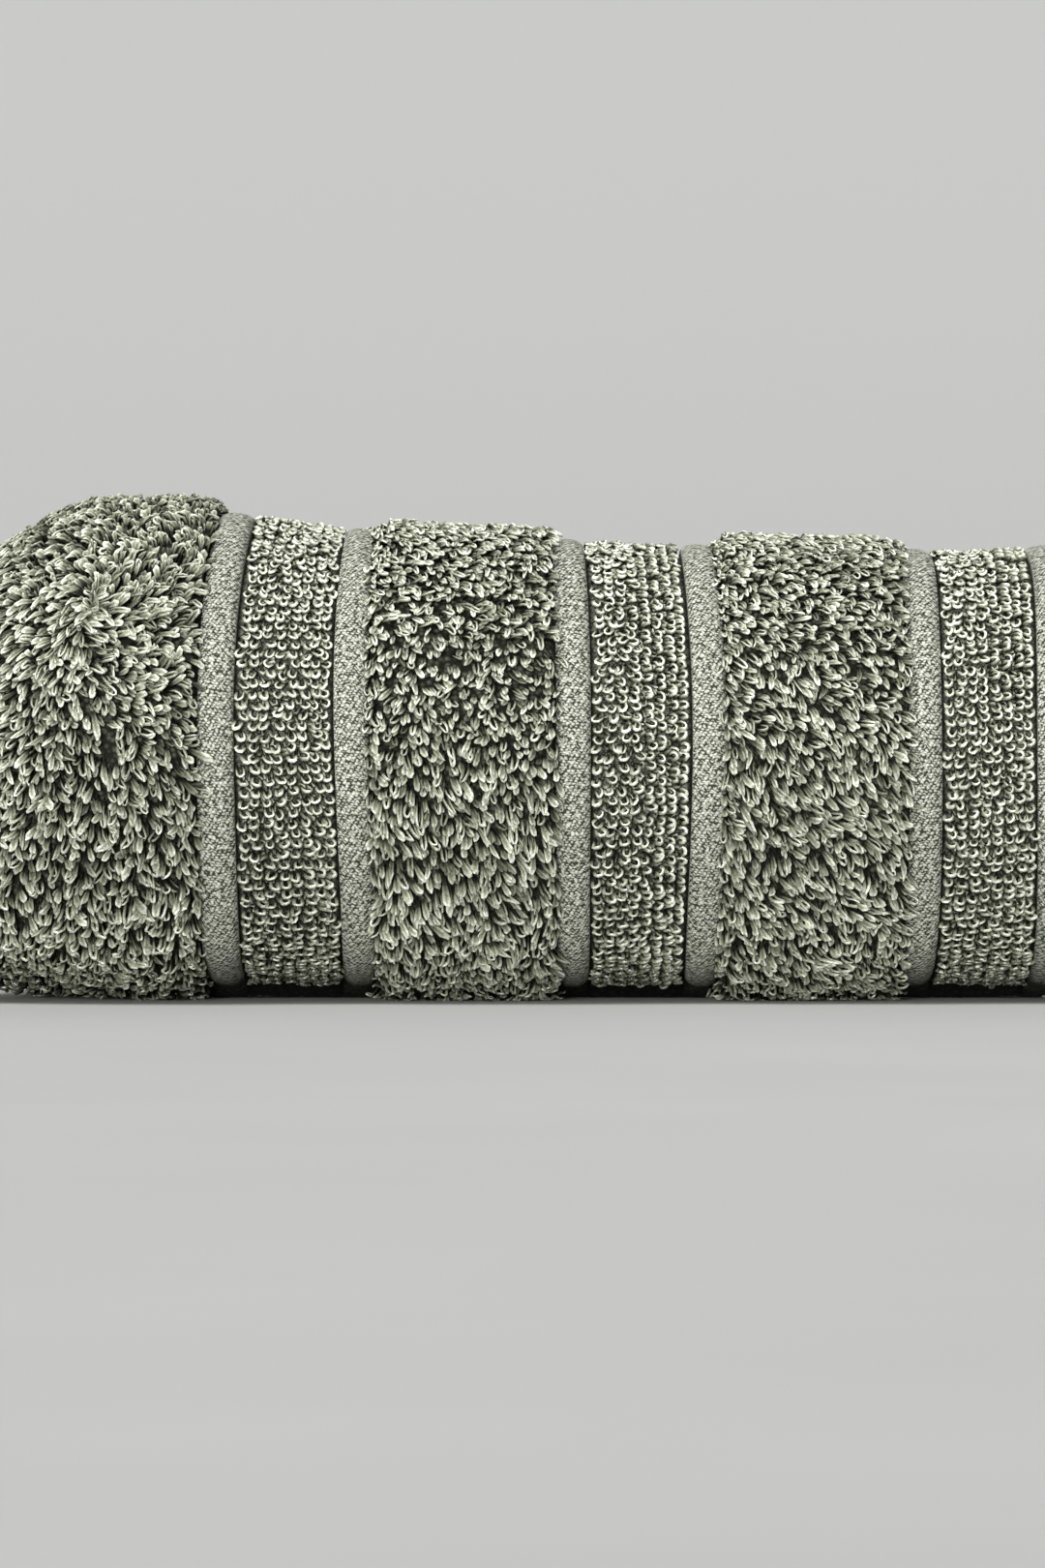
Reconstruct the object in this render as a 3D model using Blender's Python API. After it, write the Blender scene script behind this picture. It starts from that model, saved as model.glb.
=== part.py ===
"""A hand towel folded in three along its length, then rolled up from one side to the other.

The towel is one piece of terry cloth. Its middle third shows on the outside of the roll, with
bands of high pile, flat woven ribs and bands of low pile running round it. The folded packet of
three layers is wound about three turns round a tight core. At the left end each turn shows the
fold between the outer and the middle layer, with the hem of the third layer tucked beside it. At
the right end each turn shows one full fold. The loose side of the towel ends low on the back,
pressed down to its flat side hems.

X runs along the roll, Z is up, and the origin is on the surface under the middle of the roll.
"""

import math
from collections import namedtuple

import bmesh
import bpy

MM = 0.001
TURN = 2 * math.pi

# The cloth, flat
TOWEL_LENGTH = 700 * MM
LAYERS = 3
LAYER_THICKNESS = 4.3 * MM

# The folded packet and its winding
PACKET_LENGTH = TOWEL_LENGTH / LAYERS
HALF = PACKET_LENGTH / 2
PITCH = LAYERS * LAYER_THICKNESS
TURN_GAP = 0.6 * MM
PACKET_THICKNESS = PITCH - TURN_GAP
TAIL_THICKNESS = 4.4 * MM
ROLL_RADIUS = 42.4 * MM
EYE_RADIUS = 1.2 * MM
CORE_RADIUS = 1.5 * MM
CORNER_SWEEP = math.radians(70)
TAIL_ANGLE = math.radians(-45)
PRESS = 1.5 * MM

# Bands across the outside, from the photograph's proportions
Profile = namedtuple("Profile", "inset shoulder edge_depth shoulder_depth middle_depth")
PROFILES = {
    "high": Profile(0.6 * MM, 3.5 * MM, 1.5 * MM, 0.2 * MM, -0.3 * MM),
    "rib": Profile(0.35 * MM, 1.7 * MM, 3.2 * MM, 2.1 * MM, None),
    "low": Profile(0.5 * MM, 3.0 * MM, 3.2 * MM, 2.7 * MM, None),
}
Band = namedtuple("Band", "kind width")
BANDS = (
    Band("rib", 5.7 * MM),
    Band("low", 18.0 * MM),
    Band("rib", 5.4 * MM),
    Band("high", 32.0 * MM),
    Band("rib", 5.2 * MM),
    Band("low", 17.0 * MM),
    Band("rib", 6.1 * MM),
    Band("high", 32.2 * MM),
    Band("rib", 5.2 * MM),
    Band("low", 17.3 * MM),
    Band("rib", 5.2 * MM),
)
BANDS_MIDDLE = 3.45 * MM

# End bands: where the outside turns in at the roll's ends, measured from the fold's tip
END_STATIONS = (5.0 * MM, 11.0 * MM, 18.0 * MM, 27.0 * MM)
LIP_REACH = END_STATIONS[0]
TUCK_START = 26.0 * MM
TUCK_DEPTH = 0.145
TUCK_POWER = 1.5
TUCK_SAG = 0.5

# The fold of two layers and the tucked hem at the left end, in shares of the thickness
FOLD_CENTRE, FOLD_HALF = 0.67, 0.32
HEM_CENTRE, HEM_HALF = 0.15, 0.13
NOTCH_LEVEL = 0.32
HEM_SETBACK = 2.6 * MM
HEM_ROUND = 0.8 * MM
NOTCH_DEPTH = 8.0 * MM

# How thick the roll is along its length, as a share of ROLL_RADIUS
Swell = namedtuple("Swell", "x share")
SWELLS = (
    Swell(-HALF, 1.062),
    Swell(-78 * MM, 1.062),
    Swell(-30 * MM, 1.014),
    Swell(33 * MM, 0.994),
    Swell(60 * MM, 0.990),
    Swell(82 * MM, 1.002),
    Swell(HALF, 1.010),
)

# Slow waves over the roll: how often round it, radians along it for each metre, size, phase
Wave = namedtuple("Wave", "round along size phase")
WAVES = (
    Wave(2, 18.0, 0.010, 0.7),
    Wave(3, -31.0, 0.007, 2.0),
    Wave(5, 47.0, 0.004, 4.1),
)

# Where the bands stray along the roll: the left ones lean right on top, and all of them waver
LEAN = 1.6 * MM
LEAN_FROM = -38 * MM
LEAN_RUN = 34 * MM
WAVERS = (
    Wave(2, 41.0, 0.35 * MM, 1.3),
    Wave(3, -57.0, 0.25 * MM, 0.2),
)

STEPS_OUTSIDE = 32
STEPS_INSIDE = 24
PLAIN_EVERY = 9
FOLD_STEPS = (-70, -35, 0, 35, 70)
TAIL_ROUND = ((1.4 * MM, 0.80), (2.2 * MM, 0.35))
CORE_DRIFT = 2.5 * MM
SHARP_ANGLE = math.radians(40)

END_RADIUS = ROLL_RADIUS - (TAIL_THICKNESS + TURN_GAP) / 2 + TURN_GAP
WOUND = TURN * (END_RADIUS - CORE_RADIUS) / PITCH


def smooth(share):
    share = min(1.0, max(0.0, share))
    return share * share * (3 - 2 * share)


def inner_radius(wound):
    """The packet's inner face: a plain spiral, filled in to a small eye in the first turn."""
    spiral = CORE_RADIUS + PITCH * wound / TURN
    if wound >= TURN:
        return spiral
    return EYE_RADIUS + (spiral - EYE_RADIUS) * smooth((wound - TURN + CORNER_SWEEP) / CORNER_SWEEP)


def thickness(wound):
    """The packet's thickness. It is pressed thinner over the last turn, down to the side hems."""
    spiral = CORE_RADIUS + PITCH * wound / TURN
    last_turn = min(1.0, max(0.0, (wound - WOUND + TURN) / TURN))
    full = PACKET_THICKNESS - (PACKET_THICKNESS - TAIL_THICKNESS) * last_turn
    return spiral + full - inner_radius(wound)


def swell(x):
    for left, right in zip(SWELLS, SWELLS[1:]):
        if x <= right.x:
            return left.share + (right.share - left.share) * smooth((x - left.x) / (right.x - left.x))
    return SWELLS[-1].share


def tuck(x):
    """How far the ends are drawn in towards the axis, as a share of the radius."""
    over = max(0.0, abs(x) - (HALF - TUCK_START)) / (TUCK_START - LIP_REACH)
    return TUCK_DEPTH * over**TUCK_POWER


def waves(rows, x, angle):
    return sum(w.size * math.sin(w.round * angle + w.along * x + w.phase) for w in rows)


def stray(x, angle):
    """How far a band strays along the roll at this place."""
    lean = LEAN * smooth((LEAN_FROM - x) / LEAN_RUN) * max(0.0, math.sin(angle)) ** 2
    return lean + waves(WAVERS, x, angle)


def axis_height():
    bottom = WOUND - (math.radians(270) - TAIL_ANGLE)
    return inner_radius(bottom) + thickness(bottom) - PRESS


def place(x, radius, wound):
    """The point at x along the packet and this radius of the plain spiral, on the real roll."""
    angle = TAIL_ANGLE + WOUND - wound
    drawn_in = tuck(x)
    radius *= swell(x) * (1 - drawn_in) * (1 + waves(WAVES, x, angle))
    height = axis_height() * swell(x) * (1 - TUCK_SAG * drawn_in)
    drift = CORE_DRIFT * (1 - wound / WOUND)
    z = max(0.0, height + radius * math.sin(angle))
    return x + drift + stray(x, angle), radius * math.cos(angle), z


def band_stations():
    """(x, depth below the high pile's crest) across the outside, left to right."""
    found = [(distance - HALF, 0.0) for distance in END_STATIONS]
    start = BANDS_MIDDLE - sum(band.width for band in BANDS) / 2
    beside = PROFILES["high"]
    found.append((start - beside.inset, beside.edge_depth))
    for band in BANDS:
        profile = PROFILES[band.kind]
        found.append((start + profile.inset, profile.edge_depth))
        found.append((start + profile.shoulder, profile.shoulder_depth))
        if profile.middle_depth is not None:
            found.append((start + band.width / 2, profile.middle_depth))
        found.append((start + band.width - profile.shoulder, profile.shoulder_depth))
        found.append((start + band.width - profile.inset, profile.edge_depth))
        start += band.width
    found.append((start + beside.inset, beside.edge_depth))
    found += [(HALF - distance, 0.0) for distance in reversed(END_STATIONS)]
    return found


STATIONS = band_stations()
PLAIN = sorted(
    {*range(len(END_STATIONS)), *range(len(STATIONS) - len(END_STATIONS), len(STATIONS))}
    | set(range(len(END_STATIONS), len(STATIONS) - len(END_STATIONS), PLAIN_EVERY))
)


def right_lip(thick):
    """The full fold, from the outer face to the inner one."""
    for degrees in reversed(FOLD_STEPS):
        angle = math.radians(degrees)
        x = HALF - LIP_REACH + LIP_REACH * math.cos(angle)
        yield x, thick * (0.5 + 0.5 * math.sin(angle))


def left_lip(thick):
    """The tucked hem and then the fold of two layers, from the inner face to the outer one."""
    for side in (-1, 0, 1):
        setback = HEM_SETBACK + HEM_ROUND * abs(side)
        yield setback - HALF, thick * (HEM_CENTRE + HEM_HALF * side)
    yield NOTCH_DEPTH - HALF, thick * NOTCH_LEVEL
    for degrees in FOLD_STEPS:
        angle = math.radians(degrees)
        x = LIP_REACH - HALF - LIP_REACH * math.cos(angle)
        yield x, thick * (FOLD_CENTRE + FOLD_HALF * math.sin(angle))


def section(wound, banded):
    """{name: (x, height above the packet's inner face)} once round the packet, in order."""
    thick = thickness(wound)
    found = {}
    for index in range(len(STATIONS)) if banded else PLAIN:
        x, depth = STATIONS[index]
        found["outer", index] = x, thick - (depth if banded else 0.0)
    for index, point in enumerate(right_lip(thick)):
        found["right", index] = point
    for index in reversed(PLAIN):
        found["inner", index] = STATIONS[index][0], 0.0
    for index, point in enumerate(left_lip(thick)):
        found["left", index] = point
    return found


def add_ring(bm, wound, banded, share=1.0, ahead=0.0):
    """One section as vertices. A share under 1 draws it in towards the middle of the thickness."""
    middle = thickness(wound) / 2
    inside = inner_radius(wound)
    turned = wound + ahead / END_RADIUS
    return {
        name: bm.verts.new(place(x, inside + middle + (height - middle) * share, turned))
        for name, (x, height) in section(wound, banded).items()
    }


def stretch(ring, start, end):
    """The ring's vertices from one name to another, both included."""
    names = list(ring)
    first, last = names.index(start), names.index(end)
    if last <= first:
        names = names + names
        last += len(ring)
    return [ring[name] for name in names[first : last + 1]]


def join(bm, ring, following):
    """Faces between two rings. A point that only one ring has is a corner of the face there."""
    shared = [name for name in ring if name in following]
    for start, end in zip(shared, shared[1:] + shared[:1]):
        bm.faces.new(stretch(following, start, end) + stretch(ring, start, end)[::-1])


def winding_steps():
    """(how far the packet is wound, whether the bands show there) for each ring, from the core."""
    outside = [WOUND - TURN * step / STEPS_OUTSIDE for step in range(STEPS_OUTSIDE, -1, -1)]
    count = math.ceil(outside[0] / TURN * STEPS_INSIDE)
    inside = [outside[0] * step / count for step in range(count)]
    return [(wound, False) for wound in inside] + [(wound, True) for wound in outside]


def centre_on_origin(bm):
    """Moves the roll in X and Y, so that the origin is under the middle of its box."""
    for axis in (0, 1):
        reach = [vertex.co[axis] for vertex in bm.verts]
        middle = (min(reach) + max(reach)) / 2
        for vertex in bm.verts:
            vertex.co[axis] -= middle


def rolled_towel_mesh():
    bm = bmesh.new()
    rings = [add_ring(bm, wound, banded) for wound, banded in winding_steps()]
    rings += [add_ring(bm, WOUND, True, share, ahead) for ahead, share in TAIL_ROUND]
    for ring, following in zip(rings, rings[1:]):
        join(bm, ring, following)
    bm.faces.new(list(rings[0].values()))
    bm.faces.new(list(rings[-1].values())[::-1])
    centre_on_origin(bm)
    bmesh.ops.triangulate(bm, faces=bm.faces[:])
    bmesh.ops.recalc_face_normals(bm, faces=bm.faces[:])
    mesh = bpy.data.meshes.new("rolled_towel")
    bm.to_mesh(mesh)
    bm.free()
    return mesh


def terry_material():
    material = bpy.data.materials.new("sage_terry")
    material.use_nodes = True
    shader = material.node_tree.nodes["Principled BSDF"]
    shader.inputs["Base Color"].default_value = (0.36, 0.38, 0.30, 1.0)
    shader.inputs["Roughness"].default_value = 0.95
    shader.inputs["Metallic"].default_value = 0.0
    return material


def clear_scene():
    for item in list(bpy.data.objects):
        bpy.data.objects.remove(item, do_unlink=True)


def main():
    clear_scene()
    collection = bpy.data.collections.new("rolled hand towel")
    bpy.context.scene.collection.children.link(collection)
    mesh = rolled_towel_mesh()
    mesh.shade_smooth()
    mesh.set_sharp_from_angle(angle=SHARP_ANGLE)
    mesh.materials.append(terry_material())
    collection.objects.link(bpy.data.objects.new("rolled_towel", mesh))


main()
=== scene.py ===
"""The looks of a rolled hand towel: one sheet of terry cloth, folded in three and wound up.

The cloth is the real sheet, on the form of the CAD solid. Its pile is modelled loop by loop: long
leaning loops on the high bands and over the folds, some closed with a groove and some open, two
sets of short curls in columns on the low bands, and none on the flat woven ribs. X runs along the
roll and Z is up. The angle round the roll is 0 at the back, 90 on top, 180 at the front and 270
underneath, and the cloth is wound up from the core at 0 to its loose side at WOUND.
"""

import math
from collections import namedtuple

import bpy
import numpy as np
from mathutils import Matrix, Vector


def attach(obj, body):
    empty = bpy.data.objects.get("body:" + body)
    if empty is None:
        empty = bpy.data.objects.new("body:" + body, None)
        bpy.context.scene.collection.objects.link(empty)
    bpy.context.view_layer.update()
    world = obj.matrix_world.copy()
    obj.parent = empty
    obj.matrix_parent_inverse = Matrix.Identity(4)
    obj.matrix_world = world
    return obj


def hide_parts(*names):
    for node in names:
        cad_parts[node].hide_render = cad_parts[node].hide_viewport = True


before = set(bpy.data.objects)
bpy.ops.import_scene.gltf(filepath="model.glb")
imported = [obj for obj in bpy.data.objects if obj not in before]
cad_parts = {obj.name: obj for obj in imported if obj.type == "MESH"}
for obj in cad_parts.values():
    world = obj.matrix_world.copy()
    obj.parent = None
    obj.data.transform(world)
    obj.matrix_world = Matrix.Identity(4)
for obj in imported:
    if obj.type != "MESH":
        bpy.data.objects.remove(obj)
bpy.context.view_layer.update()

MM = 0.001
TURN = 2 * math.pi
NODE = "rolled_towel"

# The packet and its winding, as in the solid
PACKET_LENGTH = 700 * MM / 3
HALF = PACKET_LENGTH / 2
PITCH = 12.9 * MM
TURN_GAP = 0.6 * MM
PACKET_THICKNESS = PITCH - TURN_GAP
TAIL_THICKNESS = 4.4 * MM
ROLL_RADIUS = 42.4 * MM
EYE_RADIUS = 1.2 * MM
CORE_RADIUS = 1.5 * MM
CORNER_SWEEP = math.radians(70)
TAIL_ANGLE = math.radians(-45)
PRESS = 1.5 * MM
CORE_DRIFT = 2.5 * MM
TUCK_START = 26.0 * MM
LIP_REACH = 5.0 * MM
TUCK_DEPTH = 0.145
TUCK_POWER = 1.5
TUCK_SAG = 0.5
END_RADIUS = ROLL_RADIUS - (TAIL_THICKNESS + TURN_GAP) / 2 + TURN_GAP
WOUND = TURN * (END_RADIUS - CORE_RADIUS) / PITCH

# How thick the roll is by the place along it, and waves in its radius and along it: how many round
# it, how close along it, how high, and where they start
SWELLS = (
    (-HALF, 1.062), (-78 * MM, 1.062), (-30 * MM, 1.014), (33 * MM, 0.994), (60 * MM, 0.990),
    (82 * MM, 1.002), (HALF, 1.010),
)
WAVES = ((2, 18.0, 0.010, 0.7), (3, -31.0, 0.007, 2.0), (5, 47.0, 0.004, 4.1))
WAVERS = ((2, 41.0, 0.35 * MM, 1.3), (3, -57.0, 0.25 * MM, 0.2))
LEAN = 1.6 * MM
LEAN_FROM = -38 * MM
LEAN_RUN = 34 * MM

# The cloth: its flat size, thickness and hems, how deep the ground and the ribs lie, how woven the
# ground looks, the levels of the inner layers, how far the loose side is pressed, and its rows
GROUND = 1.1 * MM
HEM = 2.4 * MM
HEM_WIDTH = 12 * MM
HEM_EASE = 1.5 * MM
SIDE_HEM = 1.35 * MM
SIDE_HEM_WIDTH = 9 * MM
SIDE_HEM_EASE = 0.25
SIDE_HEM_LEVEL = 0.75 * MM
PILE_DEPTH = 2.3 * MM
LOW_DEPTH = 4.4 * MM
RIB_DEPTH = 2.1 * MM
RIB_ROUND = 0.9 * MM
LOW_WOVEN = 0.20
FOLD_WOVEN = 0.22
INNER_LEVEL = 1.5 * MM
MIDDLE_LEVEL = -0.6 * MM
FREE_THICKNESS = 9.0 * MM
TAIL_PRESSED = 0.41
ROW_STEP = 4.8 * MM
ROW_TURN = math.radians(14)
CLOTH_OFF_FLOOR = 0.15 * MM
PILE_OFF_FLOOR = 0.05 * MM

# Spans of degrees round the roll, eased in and out: where ribs and low bands are clear of the
# floor, sag onto it and get no light, where the left end is lifted, and where pile hangs and lies
Span = namedtuple("Span", "start run end fall", defaults=[math.inf, 1])
CLEAR = Span(226, 32)
SAG = Span(269, 5, 284, 5)
SHADED = Span(252, 9, 284, 5)
LIFTED = Span(226, 32, 269, 12)
HANGING = Span(185, 45)
LYING = Span(260, 8, 288, 8)
CLEARANCE = 1.8 * MM
SAG_LEVEL = -0.9 * MM
END_LIFT = 3.2 * MM
END_LIFT_FROM = -66 * MM
END_LIFT_RUN = 36 * MM

# The names and widths in mm of the bands, left to right, between the high pile of the two ends
BANDS = (
    ("rib", 5.7), ("low_left", 18.0), ("rib", 5.4), ("band_left", 32.0), ("rib", 5.2),
    ("low_middle", 17.8), ("rib", 5.3), ("band_right", 32.2), ("rib", 5.2), ("low_right", 17.3),
    ("rib", 5.2),
)
BANDS_MIDDLE = 3.45 * MM


def smooth(share):
    share = np.clip(share, 0.0, 1.0)
    return share * share * (3 - 2 * share)


def spiral(wound):
    return CORE_RADIUS + PITCH * wound / TURN


def inner_radius(wound):
    opened = smooth((wound - TURN + CORNER_SWEEP) / CORNER_SWEEP)
    eased = EYE_RADIUS + (spiral(wound) - EYE_RADIUS) * opened
    return np.where(wound >= TURN, spiral(wound), eased)


def thickness(wound):
    last_turn = np.clip((wound - WOUND + TURN) / TURN, 0.0, 1.0)
    full = PACKET_THICKNESS - (PACKET_THICKNESS - TAIL_THICKNESS) * last_turn
    return spiral(wound) + full - inner_radius(wound)


def swell(x):
    found = np.full_like(x, SWELLS[-1][1])
    for (left, here), (right, there) in reversed(list(zip(SWELLS, SWELLS[1:]))):
        share = smooth((x - left) / (right - left))
        found = np.where(x <= right, here + (there - here) * share, found)
    return found


def tuck(x):
    over = np.maximum(0.0, np.abs(x) - (HALF - TUCK_START)) / (TUCK_START - LIP_REACH)
    return TUCK_DEPTH * over**TUCK_POWER


def waves(rows, x, angle):
    return sum(
        size * np.sin(around * angle + along * x + phase) for around, along, size, phase in rows
    )


def stray(x, angle):
    lean = LEAN * smooth((LEAN_FROM - x) / LEAN_RUN) * np.maximum(0.0, np.sin(angle)) ** 2
    return lean + waves(WAVERS, x, angle)


def roll_angle(wound):
    return TAIL_ANGLE + WOUND - wound


def within(span, wound):
    """1 inside a span of degrees round the roll and 0 outside it."""
    degrees = np.degrees(roll_angle(wound))
    started = smooth((degrees - span.start) / span.run)
    return started * (1 - smooth((degrees - span.end) / span.fall))


def axis_height():
    bottom = np.array(WOUND - (math.radians(270) - TAIL_ANGLE))
    return float(inner_radius(bottom) + thickness(bottom) - PRESS)


AXIS_HEIGHT = axis_height()


def place(x, height, wound):
    """Points of the packet on the real roll: x along it, height above its inner face, and wound."""
    angle = roll_angle(wound)
    drawn_in = tuck(x)
    radius = (inner_radius(wound) + height) * swell(x) * (1 - drawn_in)
    radius = radius * (1 + waves(WAVES, x, angle))
    axis = AXIS_HEIGHT * swell(x) * (1 - TUCK_SAG * drawn_in)
    along = x + CORE_DRIFT * (1 - wound / WOUND) + stray(x, angle)
    return np.stack([along, radius * np.cos(angle), axis + radius * np.sin(angle)], axis=-1)


# How finely the roll is sampled along and round it to centre it
STATIONS = 61
ANGLES = 65


def centring():
    """What moves the roll so that the middle of its box is over the origin, as the solid's is."""
    angles = np.linspace(WOUND - TURN, WOUND, ANGLES)
    x, wound = np.meshgrid(np.linspace(-HALF, HALF, STATIONS), angles)
    points = place(x, thickness(wound), wound).reshape(-1, 3)
    middle = (points.min(0) + points.max(0)) / 2
    return np.array([-middle[0], -middle[1], 0.0])


SHIFT = centring()


# The folded section, as columns from the inner layer's hem round to the middle layer's hem.
# A column's height is share * thickness + level, and its level is pressed with the pile.
# A column's groove is painted shade in the trench beside a rib.
Column = namedtuple("Column", "x share level rib groove recess", defaults=[0.0, 0.0])


def band_edges():
    """(name, left, right) of each band on the outside, left to right, without the end bands."""
    left = BANDS_MIDDLE - sum(width * MM for name, width in BANDS) / 2
    found = []
    for name, width in BANDS:
        found.append((name, left, left + width * MM))
        left += width * MM
    return found


FOLD_TIP = HALF - 2.2 * MM
FOLD_LEFT_REACH = 3.0 * MM
FOLD_RIGHT_REACH = 4.6 * MM
FOLD_ANGLES = range(-90, 91, 15)
MIDDLE_SHARE = 0.5
HEM_SETBACK = 2.6 * MM
MIDDLE_HEM_SETBACK = 9.0 * MM
JOIN = 4 * MM
LAYER_STEPS = 9
JOIN_STEPS = 7

# Where columns stand across a rib and across another band, and the grooves beside a rib
RIB_SHARES = (1.0, 0.86, 0.68, 0.5, 0.32, 0.14, 0.0)
BAND_SHARES = (0.93, 0.7, 0.5, 0.3, 0.07)
RIB_FLANK = 0.25 * MM
RIB_POWER = 3
GROOVE_OFF = 0.05 * MM
GROOVE_BELOW = 0.1 * MM


def outer_columns():
    """The outer layer from right to left, with a fine step over each rib."""
    found = []
    for name, left, right in reversed(band_edges()):
        width = right - left
        if name == "rib":
            floor = -LOW_DEPTH - GROOVE_BELOW
            found.append(Column(right + GROOVE_OFF, 1.0, floor, 0.0, 1.0, 1.0))
            for share in RIB_SHARES:
                crown = RIB_DEPTH + RIB_ROUND * abs(2 * share - 1) ** RIB_POWER
                x = left + RIB_FLANK + (width - 2 * RIB_FLANK) * share
                found.append(Column(x, 1.0, -crown, 1.0, recess=1.0))
            found.append(Column(left - GROOVE_OFF, 1.0, floor, 0.0, 1.0, 1.0))
        else:
            low = name.startswith("low")
            depth, woven = (LOW_DEPTH, LOW_WOVEN) if low else (PILE_DEPTH, 0.0)
            for share in BAND_SHARES:
                found.append(Column(left + width * share, 1.0, -depth, woven, recess=float(low)))
    return found


def layer_columns(start, end, steps, share, level):
    """Columns along one plain stretch of a layer."""
    return [Column(float(x), share, level, 0.0) for x in np.linspace(start, end, steps)]


def fold_columns(tip, reach, angles, share, level):
    """Columns round the fold between the outer layer and one with this share and level."""
    found = []
    for angle in map(math.radians, angles):
        x = tip - reach * (1 - math.cos(angle))
        up = (1 + math.sin(angle)) / 2
        height = level * (1 - up) - PILE_DEPTH * up
        found.append(Column(x, share + (1 - share) * up, height, FOLD_WOVEN))
    return found


def section_columns():
    edges = band_edges()
    left = -FOLD_TIP + FOLD_LEFT_REACH + JOIN
    right = FOLD_TIP - FOLD_RIGHT_REACH - JOIN
    middle = MIDDLE_SHARE, MIDDLE_LEVEL
    return [
        *layer_columns(-HALF + HEM_SETBACK, right, LAYER_STEPS, 0.0, INNER_LEVEL),
        *fold_columns(FOLD_TIP, FOLD_RIGHT_REACH, FOLD_ANGLES, 0.0, INNER_LEVEL),
        *layer_columns(right, edges[-1][2] + JOIN, JOIN_STEPS, 1.0, -PILE_DEPTH),
        *outer_columns(),
        *layer_columns(edges[0][1] - JOIN, left, JOIN_STEPS, 1.0, -PILE_DEPTH),
        *fold_columns(-FOLD_TIP, -FOLD_LEFT_REACH, FOLD_ANGLES[::-1], *middle),
        *layer_columns(left, HALF - MIDDLE_HEM_SETBACK, LAYER_STEPS, *middle),
    ]


COLUMNS = Column(*map(np.array, zip(*section_columns())))
REFERENCE_HEIGHT = COLUMNS.share * PACKET_THICKNESS + COLUMNS.level
STEPS = np.hypot(np.diff(COLUMNS.x), np.diff(REFERENCE_HEIGHT))
PATH = np.concatenate([[0.0], np.cumsum(STEPS)])


def path_normals():
    """(x, height) of the unit normal at each column, pointing out of the packet."""
    dx, dh = np.gradient(COLUMNS.x), np.gradient(REFERENCE_HEIGHT)
    length = np.hypot(dx, dh)
    return dh / length, -dx / length


NORMAL_X, NORMAL_H = path_normals()


def side_hem(wound):
    """1 on the flat hem of the loose side, 0 on the rest."""
    sweep = SIDE_HEM_WIDTH / END_RADIUS
    return smooth((wound - WOUND + sweep) / (SIDE_HEM_EASE * sweep))


def pressing(wound):
    """How much of its own thickness the pile keeps: all of it, or less towards the loose side."""
    free = (thickness(wound) - TAIL_THICKNESS) / (FREE_THICKNESS - TAIL_THICKNESS)
    return TAIL_PRESSED + (1 - TAIL_PRESSED) * np.minimum(1.0, free)


def level_of(column_level, wound):
    """A column's level, pressed where the packet is thin and evened out on the side hem, where
    the outer and the inner layer, with levels past 1 mm, lie close to the middle one."""
    pressed = column_level * pressing(wound)
    outer, inner = column_level < -MM, column_level > MM
    flat = np.select([outer, inner], [-SIDE_HEM_LEVEL, SIDE_HEM_LEVEL], 0.0)
    hem = side_hem(wound)
    return pressed * (1 - hem) + flat * hem


def underside(level, recess, wound):
    """The level of ribs and low bands, which lie clear of the floor in front of the flat spot and
    sag onto it behind."""
    sagging = within(SAG, wound) * recess
    raised = level - CLEARANCE * within(CLEAR, wound) * recess
    return raised * (1 - sagging) + np.maximum(raised, SAG_LEVEL) * sagging


def end_lift(x, share, wound):
    """How far the outer layer is lifted off the floor towards the left end."""
    outer = smooth((share - MIDDLE_SHARE) / (1 - MIDDLE_SHARE))
    return END_LIFT * smooth((END_LIFT_FROM - x) / END_LIFT_RUN) * within(LIFTED, wound) * outer


def on_cloth(path, wound, off=0.0, ahead=0.0):
    """Points off the middle of the cloth, at a distance along its section and wound so far.
    ahead moves them that far towards +X along the outer layer, straight off the cloth there."""
    columns = COLUMNS.x, COLUMNS.share, COLUMNS.level, COLUMNS.recess, NORMAL_X, NORMAL_H
    x, share, level, recess, nx, nh = (np.interp(path, PATH, column) for column in columns)
    size = np.hypot(nx, nh)
    nx, nh = nx / size, nh / size
    level = underside(level_of(level, wound), recess, wound)
    height = share * thickness(wound) + level - end_lift(x, share, wound)
    points = place(x + nx * off + nh * ahead, height + nh * off - nx * ahead, wound)
    return points + SHIFT


def grid(points, closed_columns):
    """The numbers of rows x columns points, and the quads between them."""
    rows, columns = points.shape[:2]
    index = np.arange(rows * columns).reshape(rows, columns)
    beside = np.roll(index, -1, axis=1) if closed_columns else index[:, 1:]
    here = index if closed_columns else index[:, :-1]
    return index, np.stack([here[:-1], beside[:-1], beside[1:], here[1:]], axis=-1).reshape(-1, 4)


def new_piece(name, material, points, faces, attributes):
    """A smooth object. Each array of faces has one number of corners."""
    mesh = bpy.data.meshes.new(name)
    mesh.materials.append(material)
    mesh.vertices.add(points.size // 3)
    mesh.vertices.foreach_set("co", points.astype(np.float32).ravel())
    corners = np.concatenate([part.ravel() for part in faces])
    sizes = np.concatenate([np.full(len(part), part.shape[1]) for part in faces])
    mesh.loops.add(len(corners))
    mesh.loops.foreach_set("vertex_index", corners.astype(np.int32))
    mesh.polygons.add(len(sizes))
    mesh.polygons.foreach_set("loop_start", (np.cumsum(sizes) - sizes).astype(np.int32))
    mesh.update(calc_edges=True)
    mesh.shade_smooth()
    for attribute, values in attributes.items():
        data = mesh.attributes.new(attribute, "FLOAT", "POINT").data
        data.foreach_set("value", values.astype(np.float32).ravel())
    piece = bpy.data.objects.new(name, mesh)
    bpy.context.scene.collection.objects.link(piece)
    return piece


def keep_off_floor(points, clearance):
    """Lifts what would be nearer the floor than this, so that the roll lies flat on it."""
    points[..., 2] = np.maximum(points[..., 2], clearance)


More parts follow.
